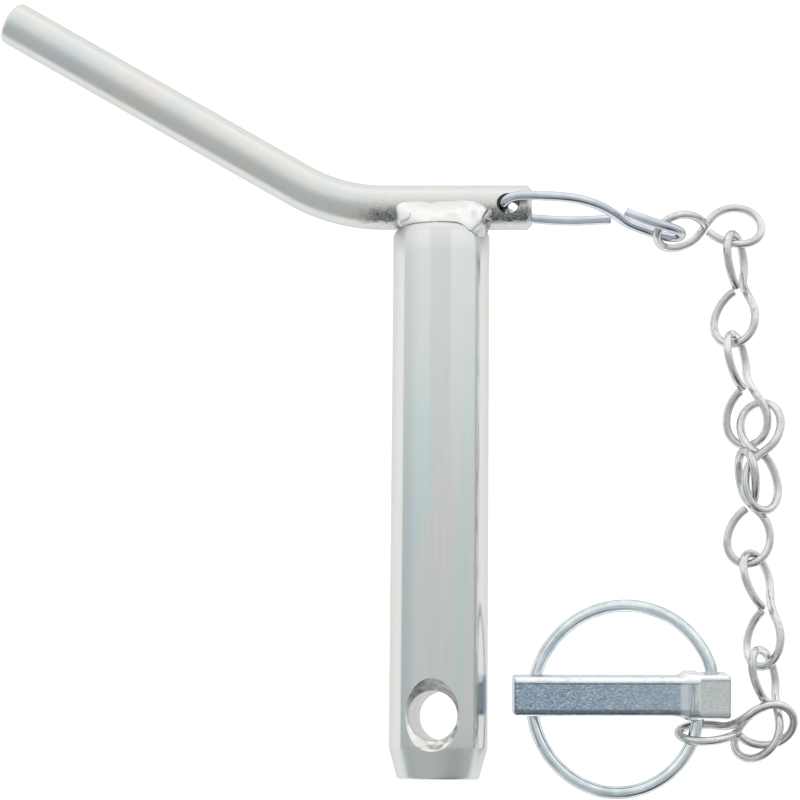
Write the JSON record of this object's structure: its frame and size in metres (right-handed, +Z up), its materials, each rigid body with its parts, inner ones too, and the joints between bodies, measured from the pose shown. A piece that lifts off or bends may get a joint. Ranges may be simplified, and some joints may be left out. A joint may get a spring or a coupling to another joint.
{
  "type": "top link pin",
  "caption": "Cross-drilled round hitch pin with a welded bent-bar handle and a linch pin on a ring, tied to the handle by a wire link chain.",
  "frame": {"origin": "centre of the shank's flat tip face", "axes": "+Y along the shank from the tip to the handle, +Z up from the surface that the part lies on, +X toward the chain"},
  "size_m": [0.2129, 0.2118, 0.0254],
  "materials": {
    "shank_zinc": "bright zinc over a turned surface, faint turning rings and pale iridescent tints",
    "handle_zinc": "bright zinc over a drawn round bar, with small dark pits beside the weld",
    "weld_metal": "smooth plated weld bead",
    "weld_metal_rear": "smooth plated weld bead",
    "connector_zinc": "bright bluish zinc on drawn wire",
    "chain_zinc": "warm grey plated wire with bare cut ends",
    "ring_zinc": "bright bluish zinc on spring wire",
    "linch_pin_zinc": "bluish zinc over a forged surface, mottled on the flat face"
  },
  "bodies": {
    "frame": {"pin_shank": "shank_zinc", "handle_bar": "handle_zinc", "weld_bead": "weld_metal", "weld_bead_rear": "weld_metal_rear"},
    "connector": {"connector_link": "connector_zinc"},
    "link_1": {"chain_link_1": "chain_zinc"},
    "link_2": {"chain_link_2": "chain_zinc"},
    "link_3": {"chain_link_3": "chain_zinc"},
    "link_4": {"chain_link_4": "chain_zinc"},
    "link_5": {"chain_link_5": "chain_zinc"},
    "link_6": {"chain_link_6": "chain_zinc"},
    "link_7": {"chain_link_7": "chain_zinc"},
    "link_8": {"chain_link_8": "chain_zinc"},
    "ring": {"linch_ring": "ring_zinc"},
    "linch_pin": {"linch_pin": "linch_pin_zinc"}
  },
  "joints": [
    {"name": "connector_swing", "type": "hinge", "parent": "frame", "child": "connector", "pos_m": [0.01775, 0.1493, 0.0009], "axis": [-0.058, 0, 0.9983], "range_deg": [0, 90]},
    {"name": "link_1_swing", "type": "hinge", "parent": "connector", "child": "link_1", "pos_m": [0.0587, 0.1457, 0.0002], "axis": [0.04, 0.97, 0.24], "range_deg": [-30, 25]},
    {"name": "link_2_swing", "type": "hinge", "parent": "link_1", "child": "link_2", "pos_m": [0.0776, 0.1417, -0.007], "axis": [0.9835, -0.1806, -0.01], "range_deg": [-60, 60]},
    {"name": "link_3_swing", "type": "hinge", "parent": "link_2", "child": "link_3", "pos_m": [0.0783, 0.1144, -0.0055], "axis": [-0.8958, -0.229, -0.3809], "range_deg": [-60, 60]},
    {"name": "link_4_swing", "type": "hinge", "parent": "link_3", "child": "link_4", "pos_m": [0.0852, 0.0981, -0.0066], "axis": [-0.6603, 0.03, 0.7504], "range_deg": [-8, 45]},
    {"name": "link_5_swing", "type": "hinge", "parent": "link_4", "child": "link_5", "pos_m": [0.0814, 0.0826, -0.0026], "axis": [0.7798, 0.5599, 0.2799], "range_deg": [0, 55]},
    {"name": "link_6_swing", "type": "hinge", "parent": "link_5", "child": "link_6", "pos_m": [0.0838, 0.0573, -0.0073], "axis": [0.917, 0.3887, 0.0897], "range_deg": [-50, 55]},
    {"name": "link_7_swing", "type": "hinge", "parent": "link_6", "child": "link_7", "pos_m": [0.0844, 0.0295, -0.0064], "axis": [-0.6818, -0.1689, -0.7118], "range_deg": [-55, 55]},
    {"name": "link_8_swing", "type": "hinge", "parent": "link_7", "child": "link_8", "pos_m": [0.0861, 0.0087, -0.0062], "axis": [0.11, 0.9939, 0], "range_deg": [-5, 50]},
    {"name": "ring_swing", "type": "hinge", "parent": "link_8", "child": "ring", "pos_m": [0.0657, 0.01, -0.007], "axis": [0.07, 0.9915, 0.1101], "range_deg": [-50, 10]},
    {"name": "linch_pin_swing", "type": "hinge", "parent": "ring", "child": "linch_pin", "pos_m": [0.06909, 0.02188, -0.00672], "axis": [0.3031, 0.9525, 0.0287], "range_deg": [0, 105]}
  ]
}
